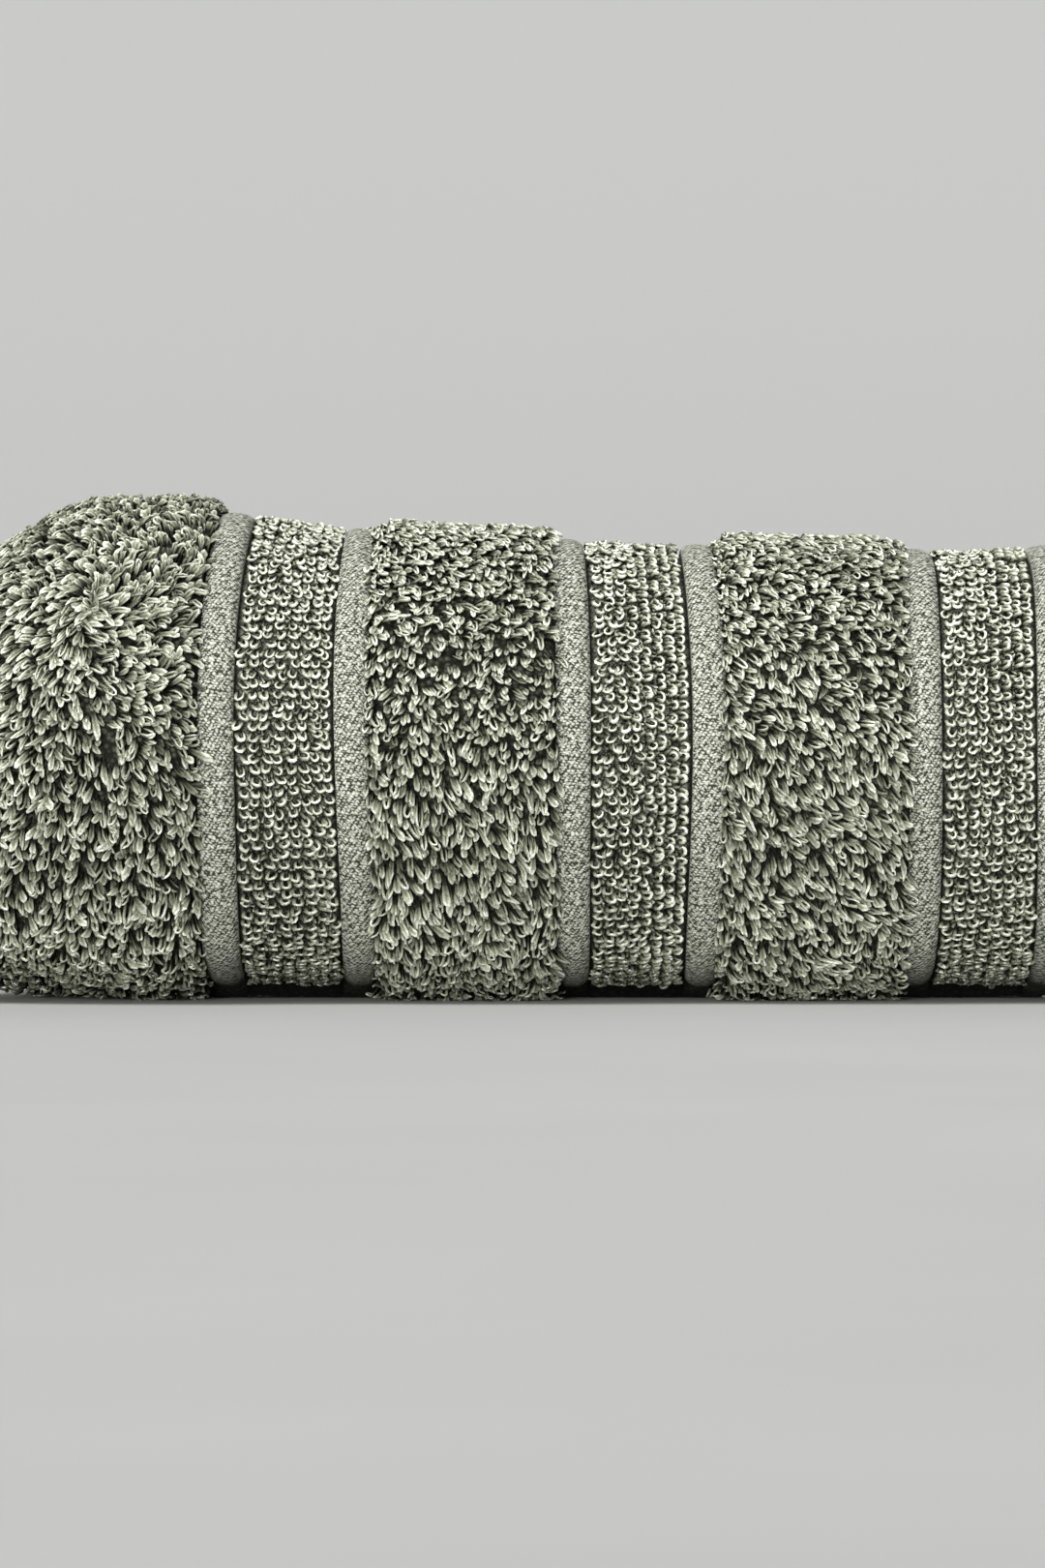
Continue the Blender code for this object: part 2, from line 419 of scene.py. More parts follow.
def cloth_rows():
    """How far the cloth is wound at each of its rows, which lie about an even step apart."""
    found = [0.0]
    while found[-1] < WOUND:
        found.append(found[-1] + min(ROW_TURN, ROW_STEP / (spiral(found[-1]) + PACKET_THICKNESS)))
    return np.array(found) * WOUND / found[-1]


def make_cloth(material):
    """The ground cloth, a closed sheet: out along the columns on one face and back on the other."""
    wound = cloth_rows()[:, None]
    path = PATH[None, :]
    end_hem = smooth((HEM_WIDTH - np.minimum(path, PATH[-1] - path)) / HEM_EASE)
    thick = GROUND + (HEM - GROUND) * end_hem
    thick = thick * (1 - side_hem(wound)) + SIDE_HEM * side_hem(wound)
    outer = on_cloth(path, wound, thick / 2)
    inner = on_cloth(path, wound, -thick / 2)
    points = np.concatenate([outer, inner[:, ::-1]], axis=1)
    keep_off_floor(points, CLOTH_OFF_FLOOR)
    index, quads = grid(points, True)
    count = len(PATH)
    caps = []
    for row, order in ((0, 1), (-1, -1)):
        near, far = index[row, :count], index[row, ::-1][:count]
        caps.append(np.stack([near[:-1], near[1:], far[1:], far[:-1]], axis=-1)[:, ::order])
    plain = np.zeros((len(wound), count))
    # Ribs lose their light weave where they sag onto the floor, painted dark there as shade
    rib = COLUMNS.rib[None, :] * (1 - within(SAG, wound))
    # Painted shade in the trenches by the ribs, and on ribs and low bands where no light reaches
    groove = np.maximum(COLUMNS.groove[None, :], COLUMNS.recess[None, :] * within(SHADED, wound))
    hem = np.maximum(end_hem, side_hem(wound))
    faces = {
        "rib": (rib, plain),
        "groove": (groove, plain),
        "across": (plain + path, plain + path),
        "wound": (plain + wound * END_RADIUS, plain + wound * END_RADIUS),
        "hem": (hem, hem),
    }
    attributes = {
        name: np.concatenate([outside, inside[:, ::-1]], axis=1)
        for name, (outside, inside) in faces.items()
    }
    quads = np.concatenate([quads, *caps])[:, ::-1]
    return new_piece("cloth", material, points, [quads], attributes)


def both_strands(bends):
    """The bends of a whole loop, from those of the strand on one side of it."""
    return bends + [(along, -side, yarn) for along, side, yarn in reversed(bends)]


# Pile loops from one root to the other: along it, off to its side, and how thick the yarn is
LONG_LOOP = both_strands([
    (-0.06, -0.24, 0.0),
    (0.20, -0.40, 0.90),
    (0.58, -0.50, 1.0),
    (0.86, -0.46, 1.05),
    (1.00, -0.18, 1.1),
])
HOOK_LOOP = both_strands([(-0.20, -0.42, 0.0), (0.30, -0.50, 0.95), (0.98, -0.30, 1.05)])
YARN_SIDES = 3

# A loop whose two strands lie together. Its stations from root to tip: along it, how broad and
# deep it is, and how deep its groove. The facets round it, from one edge over the top to the
# other: off to the side, up, in the groove or not, and how light, as painted light on the top and
# rims and painted shade on the lower edges.
PETAL = [
    (-0.06, 0.0, 0.0, 0.0),
    (0.30, 0.56, 0.85, 0.9),
    (0.74, 1.08, 1.05, 1.0),
    (0.95, 0.84, 1.15, 0.6),
    (1.05, 0.0, 0.0, 0.0),
]
FACETS = [
    (0.50, -0.30, 0.0, 0.22),
    (0.41, 0.70, 0.0, 1.0),
    (0.0, 1.0, 1.0, 1.0),
    (-0.41, 0.70, 0.0, 1.0),
    (-0.50, -0.30, 0.0, 0.22),
]
GROOVE_DEPTH = 1.0
GROOVE_SHADE = 0.74
PETAL_WIDTH = 0.68

# How a loop stands: at which shares of its length it is untwisted and has risen, how far its tip
# comes down again, how deep its root is, how much of its bend turns it, and the least radius that
# it is bent round
UNTWISTED = 0.35
RISEN = 0.62
TIP_DROP = 0.22
ROOT_DEPTH = 0.9 * MM
BEND_TURN = 0.5
LEAST_RADIUS = 5 * MM
START_SIDE = np.array([0.31, 0.83, 0.46])

Loops = namedtuple("Loops", "path wound lean length width height twist bend skew yarn tone")

# How broad the long loops are by the angle round the roll
SIZE_ANGLES = (60, 85, 145, 170, 200, 235)
SIZES = (1.3, 1.0, 1.0, 1.1, 1.15, 1.2)


def unit(vectors):
    return vectors / np.maximum(np.linalg.norm(vectors, axis=-1, keepdims=True), 1e-12)


def loop_points(loops, along, side, breadth, lift):
    """(loops, points, 3): each point's share of the way along its loop, its place across the
    loop's breadth and its lift off the loop's middle line."""
    length, height = loops.length[:, None], loops.height[:, None]
    out = np.clip(along, 0.0, 1.0)
    turn = loops.twist[:, None] * (out - UNTWISTED)
    across = side * breadth * np.cos(turn) - lift * np.sin(turn)
    up = height * np.sin(np.minimum(1.0, out / RISEN) * math.pi / 2) * (1 - TIP_DROP * out**2)
    up = up + side * breadth * np.sin(turn) + lift * np.cos(turn) - ROOT_DEPTH * (along < 0)
    lean = loops.lean[:, None] + loops.bend[:, None] * out * BEND_TURN
    onward = (along + loops.skew[:, None] * side * out) * length
    ahead = onward * np.cos(lean) - across * np.sin(lean)
    around = onward * np.sin(lean) + across * np.cos(lean)
    wound, path = loops.wound[:, None], loops.path[:, None]
    radius = inner_radius(wound) + np.interp(path, PATH, COLUMNS.share) * thickness(wound)
    radius = np.maximum(radius, LEAST_RADIUS)
    return on_cloth(path, wound + around / radius, GROUND / 2 + up, ahead)


def tubes(centres, radius, outward):
    """Closed tubes through the centres, that end in points. The second result is how far each
    point faces out of the cloth, 0 to 1, which paints light and shade on the yarn."""
    count, bends = centres.shape[:2]
    tangent = unit(np.gradient(centres, axis=1))
    frame_of = np.empty_like(centres)
    frame_of[:, 0] = unit(np.cross(tangent[:, 0], START_SIDE))
    for step in range(1, bends):
        last = frame_of[:, step - 1]
        dot = (last * tangent[:, step]).sum(-1, keepdims=True)
        frame_of[:, step] = unit(last - dot * tangent[:, step])
    other = np.cross(tangent, frame_of)
    turns = TURN * np.arange(YARN_SIDES) / YARN_SIDES
    ring = (
        frame_of[:, 1:-1, None] * np.cos(turns)[None, None, :, None]
        + other[:, 1:-1, None] * np.sin(turns)[None, None, :, None]
    )
    rings = centres[:, 1:-1, None] + ring * radius[:, 1:-1, None, None]
    points = np.concatenate([centres[:, :1], rings.reshape(count, -1, 3), centres[:, -1:]], axis=1)
    crown = 0.5 + 0.5 * (ring * outward[:, None, None]).sum(-1).reshape(count, -1)
    ends = np.zeros((count, 1))
    return points, np.concatenate([ends, crown, ends], axis=1)


def tube_faces(count, bends, sides):
    """Quads and end triangles of one tube for each loop."""
    rings = bends - 2
    ring = 1 + np.arange(rings * sides).reshape(rings, sides)
    beside = np.roll(ring, -1, axis=1)
    body = np.stack([ring[:-1], ring[1:], beside[1:], beside[:-1]], axis=-1).reshape(-1, 4)
    size = rings * sides + 2
    first = np.stack([np.zeros(sides, int), ring[0], beside[0]], axis=-1)
    last = np.stack([np.full(sides, size - 1), beside[-1], ring[-1]], axis=-1)
    starts = (np.arange(count) * size)[:, None, None]
    quads = (body[None] + starts).reshape(-1, 4)
    cones = (np.concatenate([first, last])[None] + starts).reshape(-1, 3)
    return quads, cones


Strands = namedtuple("Strands", "points reach crown quads cones")


def open_loops(loops, profile):
    """Tubes along the loops, with their colour by how far out and how far up they are: painted
    shade towards the roots, and painted light and shade by how far each point faces out.
    """
    along, side, yarn = (np.array(values)[None, :] for values in zip(*profile))
    yarn = yarn * loops.yarn[:, None]
    centres = loop_points(loops, along, side, loops.width[:, None], 0.0)
    keep_off_floor(centres, yarn + PILE_OFF_FLOOR)
    outward = unit(on_cloth(loops.path, loops.wound, MM) - on_cloth(loops.path, loops.wound))
    points, crown = tubes(centres, yarn, outward)
    count, bends = centres.shape[:2]
    rings = np.repeat(np.clip(along, 0.0, 1.0)[:, 1:-1], YARN_SIDES, axis=1)
    reach = np.concatenate([[[0.0]], rings, [[0.0]]], axis=1)
    quads, cones = tube_faces(count, bends, YARN_SIDES)
    return Strands(points, np.repeat(reach, count, axis=0), crown, quads, cones)


def closed_loops(loops):
    """Grooved petals along the loops, with their colour by how far out they are and by facet:
    painted shade towards the roots, and painted light and shade by facet.
    """
    count, sides = len(loops.path), len(FACETS)
    stations = [PETAL[0]] + [station for station in PETAL[1:-1] for facet in FACETS] + [PETAL[-1]]
    facets = [FACETS[2]] + FACETS * (len(PETAL) - 2) + [FACETS[2]]
    along, breadth, depth, dip = (np.array(values)[None, :] for values in zip(*stations))
    side, up, groove, crown = (np.array(values)[None, :] for values in zip(*facets))
    yarn = loops.yarn[:, None]
    lift = (up - GROOVE_DEPTH * groove * dip) * depth * yarn
    across = (loops.width[:, None] * PETAL_WIDTH + 2 * yarn) * breadth
    points = loop_points(loops, along, side, across, lift)
    keep_off_floor(points, PILE_OFF_FLOOR)
    crown = crown - GROOVE_SHADE * groove * dip
    crown[0, 0] = 0.0
    quads, cones = tube_faces(count, len(PETAL), sides)
    reach = np.repeat(np.clip(along, 0.0, 1.0), count, axis=0)
    return Strands(points, reach, np.repeat(crown, count, axis=0), quads, cones)


def make_loops(name, parts, material):
    """One mesh of the strands of each (loops, strands) part."""
    quads, cones, start = [], [], 0
    for loops, strands in parts:
        quads.append(strands.quads + start)
        cones.append(strands.cones + start)
        start += strands.points.shape[0] * strands.points.shape[1]
    points = np.concatenate([strands.points.reshape(-1, 3) for loops, strands in parts])
    # reach and crown carry painted shade and light, and tone the loop's own tone with painted shade
    attributes = {
        shade: np.concatenate([getattr(strands, shade).ravel() for loops, strands in parts])
        for shade in ("reach", "crown")
    }
    tones = [np.repeat(loops.tone, strands.points.shape[1]) for loops, strands in parts]
    attributes["tone"] = np.concatenate(tones)
    faces = [np.concatenate(quads), np.concatenate(cones)]
    return new_piece(name, material, points, faces, attributes)


def make_long_loops(name, rng, loops, share, material):
    """Long loops of which this share is closed."""
    closed = rng.uniform(0, 1, len(loops.path)) < share
    petals, rings = (Loops(*(values[some] for values in loops)) for some in (closed, ~closed))
    parts = [(petals, closed_loops(petals)), (rings, open_loops(rings, LONG_LOOP))]
    return make_loops(name, parts, material)


# Where the pile parts and shows its ground, painted dark as shade: from one place in mm along
# the roll and angle round it to another, and how far to either side
CREASES = (
    (-86.4, 173, -87.2, 190, 1.0),
    (-101.0, 186, -99.0, 200, 0.6),
    (-15.6, 147.5, -10.0, 150, 0.8),
    (-33.0, 152.5, -25.5, 155, 0.8),
    (34.0, 140.0, 38.5, 146, 0.7),
)


def in_crease(path, wound):
    """True where a loop's tip would close one of the creases."""
    x, angle = np.interp(path, PATH, COLUMNS.x), np.degrees(roll_angle(wound))
    arc = math.radians(1) * END_RADIUS
    found = np.zeros(len(path), dtype=bool)
    for x0, angle0, x1, angle1, reach in CREASES:
        run, fall = x1 * MM - x0 * MM, (angle1 - angle0) * arc
        dx, dy = x - x0 * MM, (angle - angle0) * arc
        share = np.clip((dx * run + dy * fall) / (run**2 + fall**2), 0.0, 1.0)
        found |= np.hypot(dx - share * run, dy - share * fall) < reach * MM
    return found


# How the pile lies by the angle round the roll: degrees that its loops point to at the left and
# the right of the band (0 right, 90 up, 270 down, as seen from the front), how long they are, how
# far they rise off the cloth and how far they scatter
Lay = namedtuple("Lay", "angle left right length rise scatter")
LAY_START = -100
LOW_LENGTH_RISE = 1.75, 1.5


def lay_rows(*rows):
    return [Lay(*row) for row in rows]


def low_rows(*rows):
    return [Lay(*row[:-1], *LOW_LENGTH_RISE, row[-1]) for row in rows]


LAYS = {
    "end_left": lay_rows(
        (-100, 230, 290, 3.4, 2.4, 28), (-40, 200, 250, 3.4, 2.4, 28),
        (30, 170, 120, 3.4, 2.4, 28), (90, 145, 70, 3.4, 2.9, 30), (118, 150, 95, 3.8, 2.8, 30),
        (136, 178, 25, 3.6, 2.5, 34), (151, 200, 5, 3.4, 2.4, 36), (166, 222, 350, 2.9, 2.5, 40),
        (182, 236, 310, 3.0, 2.5, 36), (200, 248, 278, 3.5, 2.3, 28),
        (228, 254, 274, 3.6, 2.4, 26), (262, 256, 282, 2.6, 2.1, 30),
    ),
    "band_left": lay_rows(
        (-100, 270, 290, 3.4, 2.3, 28), (-30, 250, 300, 3.4, 2.3, 28),
        (40, 300, 330, 3.4, 2.4, 32), (92, 318, 330, 2.9, 2.5, 38), (120, 312, 322, 2.5, 2.5, 46),
        (143, 300, 350, 2.5, 2.5, 50), (151, 262, 285, 2.3, 2.6, 34),
        (174, 268, 276, 2.5, 2.6, 26), (188, 276, 288, 3.2, 2.3, 22),
        (208, 280, 292, 3.9, 2.2, 20), (235, 274, 281, 3.8, 2.3, 17),
        (262, 270, 276, 2.8, 2.1, 20),
    ),
    "band_right": lay_rows(
        (-100, 290, 310, 3.4, 2.3, 28), (-30, 320, 300, 3.4, 2.3, 28),
        (50, 350, 330, 3.4, 2.4, 32), (95, 350, 345, 2.9, 2.5, 38), (122, 338, 343, 2.5, 2.5, 36),
        (142, 312, 326, 2.7, 2.4, 32), (170, 298, 312, 3.1, 2.3, 24),
        (200, 300, 310, 3.8, 2.2, 22), (235, 288, 294, 3.6, 2.3, 18),
        (262, 278, 284, 2.8, 2.1, 22),
    ),
    "end_right": lay_rows(
        (-100, 250, 300, 3.4, 2.4, 26), (-20, 280, 330, 3.4, 2.4, 26), (60, 60, 20, 3.4, 2.4, 28),
        (110, 50, 10, 3.4, 2.4, 30), (150, 330, 350, 3.1, 2.4, 34), (190, 300, 325, 3.5, 2.2, 26),
        (230, 285, 305, 3.7, 2.1, 24), (262, 280, 300, 3.5, 2.3, 28),
    ),
    "low_left": low_rows(
        (-100, 262, 300, 18), (60, 250, 320, 26), (150, 262, 300, 30), (185, 266, 312, 24),
        (262, 262, 300, 18),
    ),
    "low_middle": low_rows(
        (-100, 262, 330, 18), (60, 250, 350, 26), (150, 264, 372, 26), (200, 264, 366, 20),
        (262, 262, 330, 18),
    ),
    "low_right": low_rows(
        (-100, 262, 310, 18), (60, 260, 340, 26), (150, 268, 366, 26), (200, 268, 306, 22),
        (262, 262, 310, 18),
    ),
}


# Slow waves by which neighbouring loops lean the same way: how many, the shortest and the longest
HIGH_DRIFT = 12, 6 * MM, 18 * MM
LOW_DRIFT = 10, 6 * MM, 20 * MM
FOLD_DRIFT = 10, 5 * MM, 16 * MM
DRIFT_PEAK = 1.6
DRIFT_LEAN = 0.30


def drift_waves(rng, count, shortest, longest):
    """Random slow waves over the cloth: (path, wound) wave numbers, phases and sizes."""
    size = rng.uniform(shortest, longest, count)
    heading = rng.uniform(0, TURN, count)
    return (
        TURN / size * np.cos(heading),
        TURN / size * np.sin(heading),
        rng.uniform(0, TURN, count),
        size / longest,
    )


def drift(field, path, wound):
    """The waves' value over the cloth, about -1 to 1."""
    across, along, phase, size = field
    inside = path[:, None] * across + wound[:, None] * END_RADIUS * along + phase
    return (np.sin(inside) * size).sum(1) / math.sqrt((size**2).sum() / 2) / DRIFT_PEAK


def lay_at(lays, share, angle):
    """Lean, length, rise and scatter at a share of a band's width and an angle round the roll."""
    degrees = (np.degrees(angle) - LAY_START) % 360 + LAY_START
    rows = lays + [lays[0]._replace(angle=LAY_START + 360)]
    angles = [row.angle for row in rows]

    def between(values):
        return np.interp(degrees, angles, values)

    def heading(name, turn):
        return between([turn(math.radians(getattr(row, name))) for row in rows])

    east = heading("left", math.cos) * (1 - share) + heading("right", math.cos) * share
    north = heading("left", math.sin) * (1 - share) + heading("right", math.sin) * share
    length = between([row.length for row in rows]) * MM
    rise = between([row.rise for row in rows]) * MM
    return np.arctan2(north, east), length, rise, np.radians(between([row.scatter for row in rows]))


def even_places(rng, low, high, first, last, pitch, row_pitch):
    """Places spread evenly over a part of the cloth: (path, wound), with each other row half a
    pitch over."""
    run, turned = high - low, last - first
    columns = max(1, int(round(run / (pitch * MM))))
    rows = max(1, int(round(turned / (row_pitch * MM / PILE_RADIUS))))
    column, row = np.meshgrid(np.arange(columns), np.arange(rows))
    column = column + 0.5 * (row % 2)
    path = low + (column + 0.25 + rng.uniform(-JITTER, JITTER, column.shape)) * run / columns
    wound = first + (row + 0.5 + rng.uniform(-JITTER, JITTER, row.shape)) * turned / rows
    return path.ravel(), wound.ravel()


def roots_of(tip_path, tip_wound, lean, length, low, high):
    """Where loops with these tips stand, kept on their band: (path, wound, lean, length)."""
    path = np.clip(tip_path + length * np.cos(lean), low, high)
    wound = tip_wound - length * np.sin(lean) / PILE_RADIUS
    wound = np.clip(wound, EXPOSED_FROM - ROOT_MARGIN, EXPOSED_TO)
    ahead, around = path - tip_path, (tip_wound - wound) * PILE_RADIUS
    return path, wound, np.arctan2(around, ahead), np.maximum(np.hypot(ahead, around), LEAST_LENGTH)


def path_at(x):
    """The distance along the section of the outer layer at x."""
    outer = (COLUMNS.share == 1.0) & (np.abs(NORMAL_H - 1) < 0.5)
    order = np.argsort(COLUMNS.x[outer])
    return np.interp(x, COLUMNS.x[outer][order], PATH[outer][order])


def wound_at(degrees):
    """How far the cloth is wound at an angle round the roll, on its last turn."""
    return WOUND + TAIL_ANGLE - math.radians(degrees)


# How many mm apart the tips of the long loops are along the roll and round it: low on the back,
# underneath, low in front, in front, on top and down the back
EXPOSED_FROM = WOUND - TURN - 0.10
EXPOSED_TO = WOUND - SIDE_HEM_WIDTH / END_RADIUS
SPACINGS = (
    (EXPOSED_FROM, wound_at(290), 1.68, 1.88),
    (wound_at(290), wound_at(247), 2.3, 2.5),
    (wound_at(247), wound_at(197), 1.50, 1.68),
    (wound_at(197), wound_at(148), 1.31, 1.44),
    (wound_at(148), wound_at(73), 1.25, 1.36),
    (wound_at(73), EXPOSED_TO, 1.75, 1.95),
)
PILE_RADIUS = END_RADIUS + 2 * MM
JITTER = 0.40
ROOT_MARGIN = 0.05
LEAST_LENGTH = 1.2 * MM

# The habits of long loops: how far each leans and how long it is by itself, its length, width,
# rise, twist, bend, skew and yarn, how much of its breadth the yarn takes on, and how light it is:
# by chance, with painted light where it stands proud or hangs, and painted shade where it stands
# low or the roll lies on it
OWN_LEAN = 0.40
OWN_LENGTH = 0.18
LENGTHS = (0.8, 1.0, 1.25)
LEAST_WIDTH = 0.60
WIDER = 0.42
LEAST_RISE = 0.6
PROUD_RISE = 0.6
TWIST = 1.7
BEND = 1.9
SKEW = 0.3
YARN = (0.24, 0.30)
BROAD_YARN = 0.4
TONE = 0.31
PROUD_PAINTED_LIGHT = 0.57
HANGING_PAINTED_LIGHT = 0.32
LYING_SHADE = 0.4

# Which share of the long loops is closed: in general, where they hang and over the folds
CLOSED_SHARE = 0.62
HANGING_SHARE = 0.45
FOLD_CLOSED_SHARE = 0.85


def scattered(rng, lay, clump, path, wound):
    """The lay with each loop's own lean and length."""
    lean, length, rise, scatter = lay
    count = len(path)
    own = rng.uniform(-1, 1, count) + rng.uniform(-1, 1, count)
    lean = lean + DRIFT_LEAN * drift(clump, path, wound) + OWN_LEAN * scatter * own
    return lean, length * np.exp(OWN_LENGTH * rng.standard_normal(count)), rise, scatter


def upright(wound):
    """How much of its rise the pile keeps where it is pressed."""
    return 0.5 + 0.5 * pressing(wound)


def long_loops(rng, path, wound, lay):
    """Long loops at these places, each with its own habits."""
    lean, length, rise, scatter = lay
    count = len(path)
    proud = rng.uniform(0, 1, count)
    size = np.interp(np.degrees(roll_angle(wound)), SIZE_ANGLES, SIZES)
    return Loops(
        path=path,
        wound=wound,
        lean=lean,
        length=length * rng.choice(LENGTHS, count),
        width=(LEAST_WIDTH + WIDER * rng.uniform(0, 1, count)) * size * MM,
        height=rise * (LEAST_RISE + PROUD_RISE * proud) * upright(wound),
        twist=rng.uniform(-TWIST, TWIST, count),
        bend=BEND * scatter * rng.uniform(-1, 1, count),
        skew=rng.uniform(-SKEW, SKEW, count),
        yarn=rng.uniform(*YARN, count) * (1 - BROAD_YARN + BROAD_YARN * size) * MM,
        tone=long_tone_and_shade(rng.uniform(0, 1, count), proud, wound),
    )


def long_tone_and_shade(chance, proud, wound):
    """How light the loops are: by chance, lighter the prouder they stand as painted light and
    shade, lighter where they hang as painted light, and darker with painted shade where the roll
    lies on them. No light reaches the ones that the roll lies on.
    """
    tone = TONE * chance + PROUD_PAINTED_LIGHT * proud + HANGING_PAINTED_LIGHT * within(HANGING, wound)
    return np.minimum(tone, 1.0) * (1 - LYING_SHADE * within(LYING, wound))


def make_high_pile(name, left, right, material, spare_left=0.0, spare_right=0.0):
    """A band of long loops on the outer layer, between two places along the roll. The tips are
    spread evenly, and the roots may be past an end of the band by the spare there."""
    rng = np.random.default_rng(SEEDS[name])
    clump = drift_waves(rng, *HIGH_DRIFT)
    low, high = path_at(right), path_at(left)
    places = [even_places(rng, low, high, *spacing) for spacing in SPACINGS]
    path, wound = np.concatenate(places, axis=1)
    kept = ~in_crease(path, wound)
    path, wound = path[kept], wound[kept]
    share = np.clip((np.interp(path, PATH, COLUMNS.x) - left) / (right - left), 0, 1)
    lay = lay_at(LAYS[name], share, roll_angle(wound))
    lean, length, rise, scatter = scattered(rng, lay, clump, path, wound)
    low, high = low - spare_right, high + spare_left
    path, wound, lean, length = roots_of(path, wound, lean, length, low, high)
    loops = long_loops(rng, path, wound, (lean, length, rise, scatter))
    share = CLOSED_SHARE + (HANGING_SHARE - CLOSED_SHARE) * within(HANGING, wound)
    return make_long_loops("pile_" + name, rng, loops, share, material)


# The two sets of low loops: the ones that show, and flatter ones between them, darker as
# painted shade. Their columns are shares of the band's width, and each column starts a little
# further round.
Tier = namedtuple("Tier", "profile shift rise width tone unrest columns")
TIERS = (
    Tier(
        LONG_LOOP, 0.0, 1.1, (1.15, 1.45), (0.50, 0.83), 0.6,
        (0.08, 0.21, 0.34, 0.47, 0.60, 0.725, 0.845, 0.945),
    ),
    Tier(
        HOOK_LOOP, 0.5, 0.6, (1.0, 1.4), (0.10, 0.44), 1.6,
        (0.15, 0.275, 0.405, 0.535, 0.665, 0.785, 0.89),
    ),
)
LOW_ROW = 1.85 * MM
LOW_STEP = 0.12
LOW_JITTER = 0.011
LOW_ROW_JITTER = 0.13
LOW_SAG = 0.1
LOW_LENGTH = (0.75, 1.3)
LOW_SPARE_LEFT = 0.3 * MM
LOW_SPARE_RIGHT = 0.6 * MM
LOW_RISE = (0.65, 1.25)
LOW_TWIST = 0.8
LOW_BEND = 1.1
LOW_YARN = (0.31, 0.37)


def low_loops(rng, tier, lays, left, right):
    """Short loops in columns, that lean down at the left and over to the right at the right."""
    clump = drift_waves(rng, *LOW_DRIFT)
    row_pitch = LOW_ROW / END_RADIUS
    rows = int((EXPOSED_TO - EXPOSED_FROM) / row_pitch)
    column, row = np.meshgrid(np.arange(len(tier.columns)), np.arange(rows))
    share = np.array(tier.columns)[column] + rng.uniform(-LOW_JITTER, LOW_JITTER, column.shape)
    x = left + share * (right - left)
    jitter = rng.uniform(-LOW_ROW_JITTER, LOW_ROW_JITTER, row.shape)
    wound = EXPOSED_FROM + (row + tier.shift + LOW_STEP * column + jitter) * row_pitch
    kept = within(SAG, wound) < LOW_SAG
    tip_x, wound = x[kept], wound[kept]
    path = path_at(tip_x)
    count = len(path)
    lean, length, rise, scatter = lay_at(lays, (tip_x - left) / (right - left), roll_angle(wound))
    lean = lean + DRIFT_LEAN * drift(clump, path, wound)
    lean = lean + tier.unrest * scatter * rng.standard_normal(count)
    length = length * rng.uniform(*LOW_LENGTH, count)
    low, high = path_at(right) + LOW_SPARE_RIGHT, path_at(left) - LOW_SPARE_LEFT
    path, wound, lean, length = roots_of(path, wound, lean, length, low, high)
    return Loops(
        path=path,
        wound=wound,
        lean=lean,
        length=length,
        width=rng.uniform(*tier.width, count) * MM,
        height=tier.rise * rise * rng.uniform(*LOW_RISE, count) * upright(wound),
        twist=rng.uniform(-LOW_TWIST, LOW_TWIST, count),
        bend=rng.uniform(-LOW_BEND, LOW_BEND, count),
        skew=rng.uniform(-SKEW, SKEW, count),
        yarn=rng.uniform(*LOW_YARN, count) * MM,
        tone=rng.uniform(*tier.tone, count),
    )


def make_low_pile(name, left, right, material):
    rng = np.random.default_rng(SEEDS[name])
    sets = [low_loops(rng, tier, LAYS[name], left, right) for tier in TIERS]
    parts = [(loops, open_loops(loops, tier.profile)) for loops, tier in zip(sets, TIERS)]
    return make_loops("pile_" + name, parts, material)


# The pile of the folds: how far past the fold it shows below and above it at either end, and its
# spacing, breadth, lean, length, rise and scatter
FOLD_BELOW = {"left": 7.5 * MM, "right": 5.5 * MM}
FOLD_ABOVE = {"left": 3.2 * MM, "right": 9.5 * MM}
FOLD_FROM = 0.35
FOLD_MIDDLE = 0.6
FOLD_PITCH = 1.66 * MM
FOLD_JITTER = 0.33
FOLD_BREADTH = 1.4
FOLD_LEAN = 1.2
FOLD_LENGTH = 3.1 * MM
FOLD_RISE = 1.9 * MM
FOLD_SCATTER = math.radians(25)


def fold_span(end):
    """(first, last) distance along the section that shows at the left or the right fold."""
    tip = PATH[np.argmax(COLUMNS.x) if end == "right" else np.argmin(COLUMNS.x)]
    return tip - FOLD_BELOW[end], tip + FOLD_ABOVE[end]


def make_fold_pile(end, material):
    """Loops over the folds of every turn at one end of the roll, leaning out of it."""
    rng = np.random.default_rng(SEEDS[end])
    clump = drift_waves(rng, *FOLD_DRIFT)
    first, last = fold_span(end)
    count = int(round((last - first) / FOLD_PITCH))
    places = []
    wound = FOLD_FROM
    while wound < EXPOSED_TO:
        radius = float(spiral(np.array(wound)) + FOLD_MIDDLE * PACKET_THICKNESS)
        row = np.arange(count) + rng.uniform(-FOLD_JITTER, FOLD_JITTER, count) + 0.5
        jitter = rng.uniform(-FOLD_JITTER, FOLD_JITTER, count) * FOLD_PITCH / radius
        places.append(np.stack([first + row * (last - first) / count, wound + jitter]))
        wound += FOLD_PITCH / radius
    path, wound = np.concatenate(places, axis=1)
    count = len(path)
    outward, side = (0.0, -1) if end == "right" else (math.pi, 1)
    past = (path - (first + last) / 2) / (last - first) * side
    lean = np.where(past > 0, outward + math.pi, outward)
    lean = lean + rng.uniform(-FOLD_LEAN, FOLD_LEAN, count)
    lay = lean, np.full(count, FOLD_LENGTH), np.full(count, FOLD_RISE), FOLD_SCATTER
    loops = long_loops(rng, path, wound, scattered(rng, lay, clump, path, wound))
    loops = loops._replace(width=loops.width * FOLD_BREADTH)
    return make_long_loops("fold_pile_" + end, rng, loops, FOLD_CLOSED_SHARE, material)


